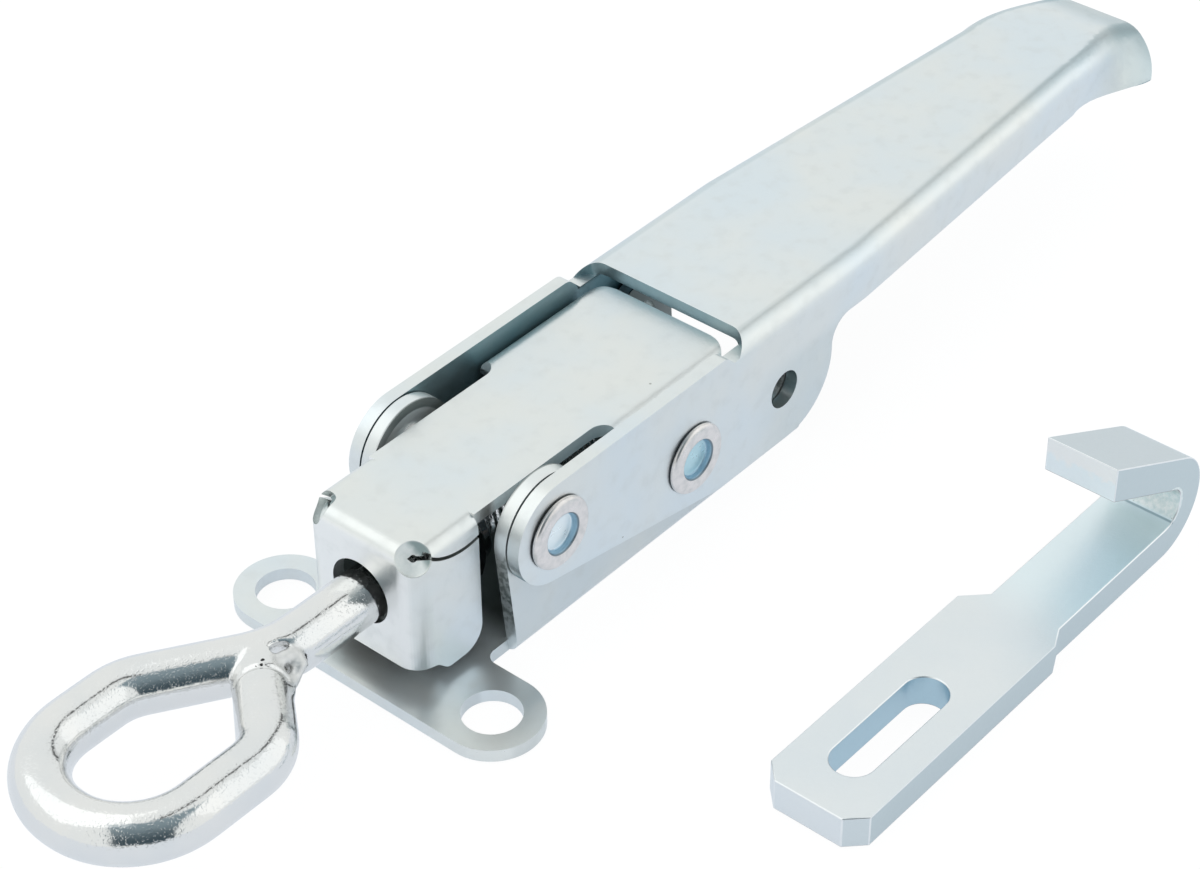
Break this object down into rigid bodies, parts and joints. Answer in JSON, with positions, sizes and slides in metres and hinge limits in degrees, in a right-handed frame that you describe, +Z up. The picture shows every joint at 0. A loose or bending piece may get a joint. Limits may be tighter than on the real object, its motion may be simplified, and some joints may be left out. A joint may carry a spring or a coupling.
{
  "type": "trailer toggle latch",
  "caption": "Over-centre toggle latch for a trailer side: folded base with ears, pressed lever, draw bracket with an adjustable eyebolt, and a separate slotted keeper hook.",
  "frame": {"origin": "midway between the two ear holes, on the mounting face", "axes": "+X from the eye to the tip of the lever, +Y to the far side in the picture, +Z up from the mounting face"},
  "size_m": [0.2326, 0.0976, 0.028],
  "materials": {
    "zinc_sheet": "bright zinc plating, satin with faint clouding",
    "zinc_rod": "bright zinc plating on round rod",
    "zinc_bar": "pale zinc plating on flat bar",
    "rivet": "zinc plating, set with a hollow punch",
    "nylon": "moulded insert of the lock nut"
  },
  "bodies": {
    "base": {"base_plate": "zinc_sheet", "pivot_rivet_left": "rivet", "pivot_rivet_right": "rivet", "keeper_hook": "zinc_bar"},
    "lever": {"lever": "zinc_sheet", "link_rivet_left": "rivet", "link_rivet_right": "rivet"},
    "bracket": {"draw_bracket": "zinc_sheet"},
    "eyebolt": {"eyebolt": "zinc_rod", "lock_nut": "zinc_rod", "nut_insert": "nylon"}
  },
  "joints": [
    {"name": "lever_swing", "type": "hinge", "parent": "base", "child": "lever", "pos_m": [0.0182, 0, 0.0195], "axis": [0, -1, 0], "range_deg": [0, 110]},
    {"name": "bracket_link", "type": "hinge", "parent": "lever", "child": "bracket", "pos_m": [0.047, 0, 0.0143], "axis": [0, -1, 0], "range_deg": [-88, 0]},
    {"name": "eyebolt_turn", "type": "hinge", "parent": "bracket", "child": "eyebolt", "pos_m": [0, 0, 0.0143], "axis": [1, 0, 0], "range_deg": [-55, 55]}
  ],
  "couplings": [
    {"joint": "bracket_link", "follows": "lever_swing", "ratio": -0.8}
  ]
}
